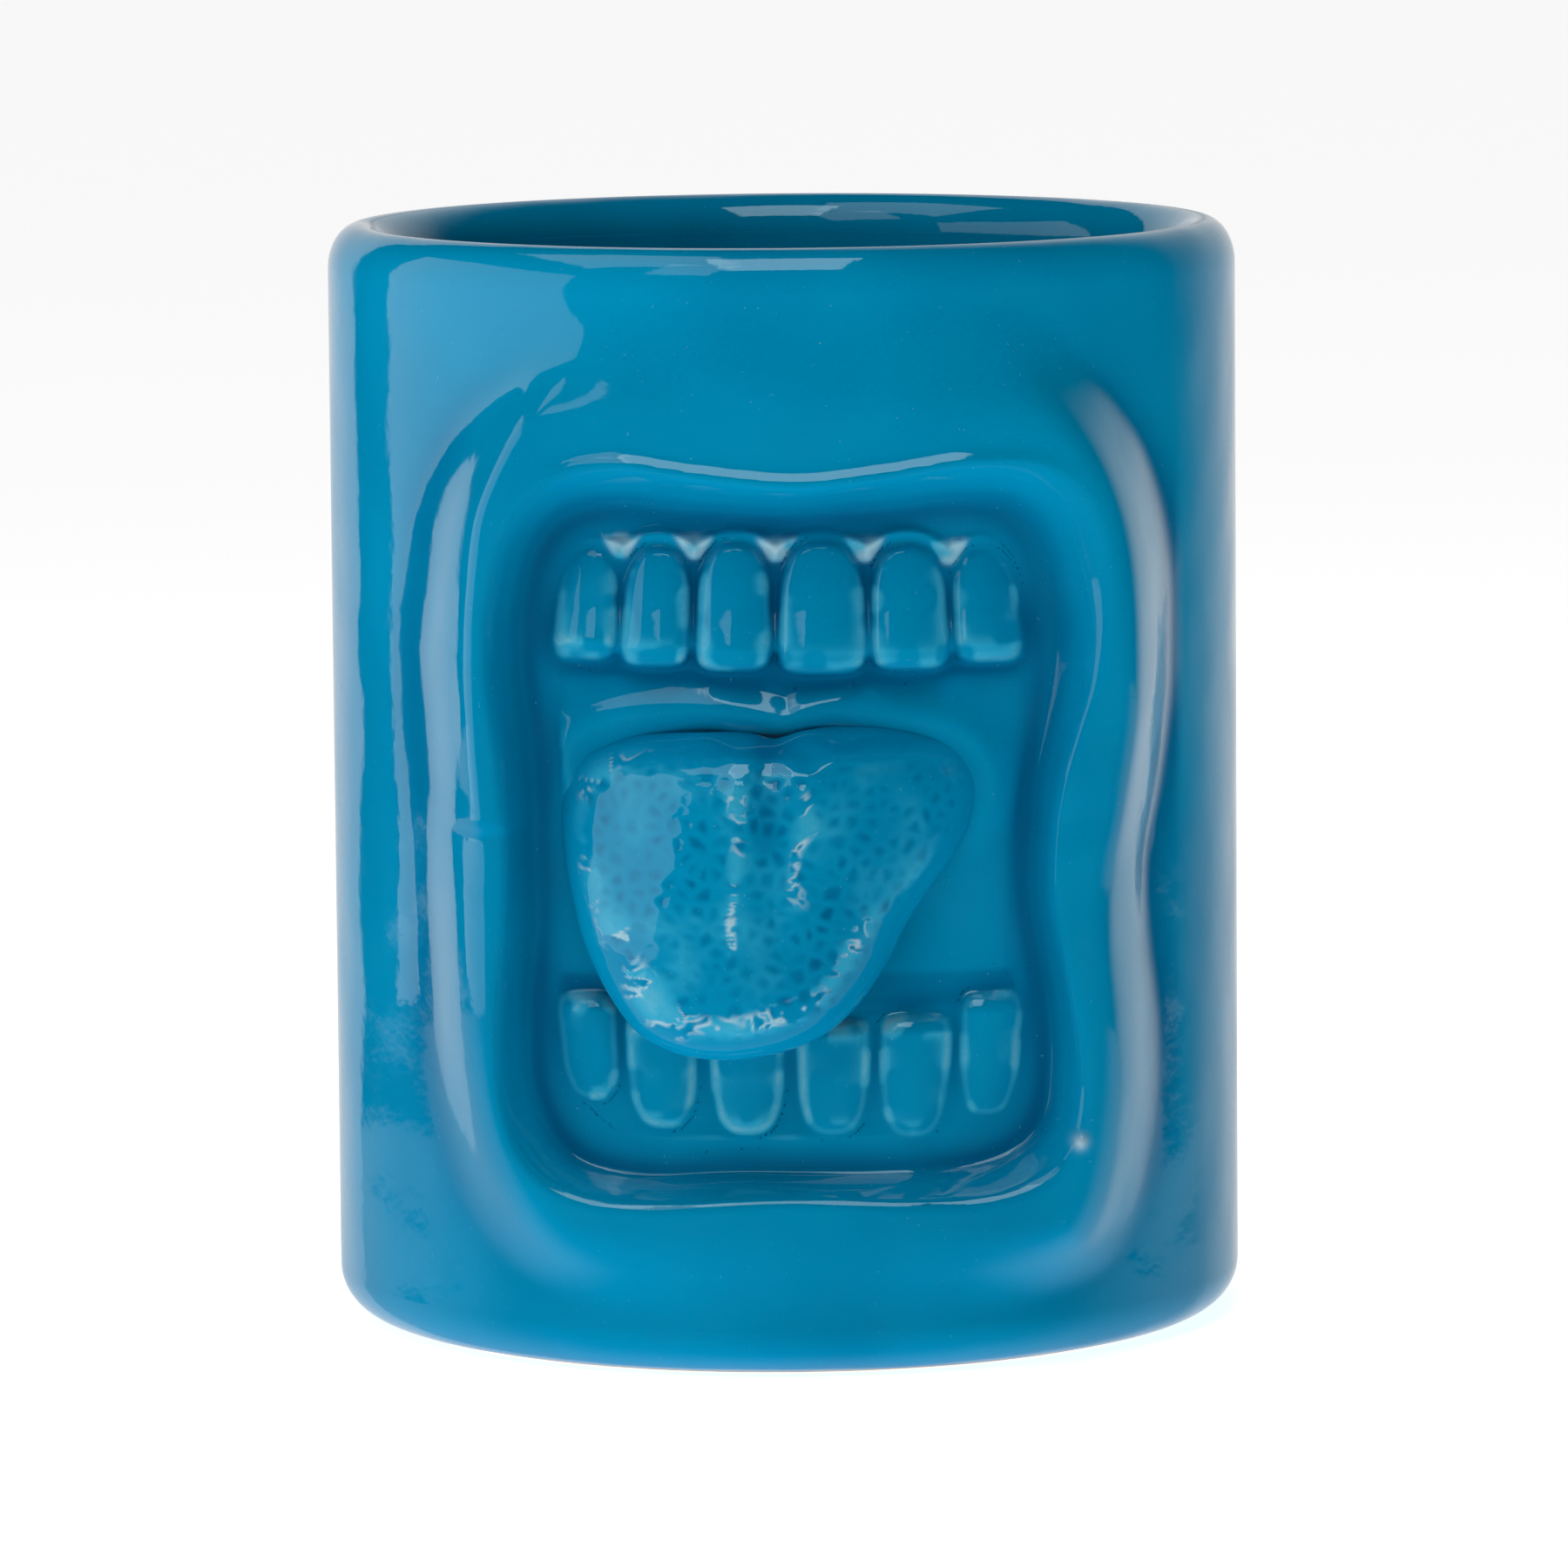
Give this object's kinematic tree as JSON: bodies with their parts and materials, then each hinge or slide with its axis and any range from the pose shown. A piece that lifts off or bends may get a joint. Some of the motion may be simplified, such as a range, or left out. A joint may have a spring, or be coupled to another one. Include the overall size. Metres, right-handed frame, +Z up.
{
  "type": "novelty mug",
  "caption": "Handleless straight-sided ceramic mug with an open mouth in relief on the front: lips, two rows of teeth and a tongue hanging out.",
  "frame": {"origin": "on the axis of the cylindrical cup, on the flat underside it stands on", "axes": "+Z up along the axis of the cup; -Y towards the viewer, where the mouth faces; +X to the right of a viewer facing the mouth"},
  "size_m": [0.086, 0.0934, 0.104],
  "materials": {
    "glaze": "glossy",
    "bare_clay": "matte"
  },
  "bodies": {
    "root": {"mug_wall": "glaze", "mug_floor": "glaze", "bare_foot": "bare_clay", "upper_lip": "glaze", "lower_lip": "glaze", "mouth_cavity": "glaze", "upper_gum": "glaze", "lower_gum": "glaze", "upper_tooth_1": "glaze", "upper_tooth_2": "glaze", "upper_tooth_3": "glaze", "upper_tooth_4": "glaze", "upper_tooth_5": "glaze", "upper_tooth_6": "glaze", "lower_tooth_1": "glaze", "lower_tooth_2": "glaze", "lower_tooth_3": "glaze", "lower_tooth_4": "glaze", "lower_tooth_5": "glaze", "lower_tooth_6": "glaze", "tongue": "glaze"}
  },
  "joints": []
}
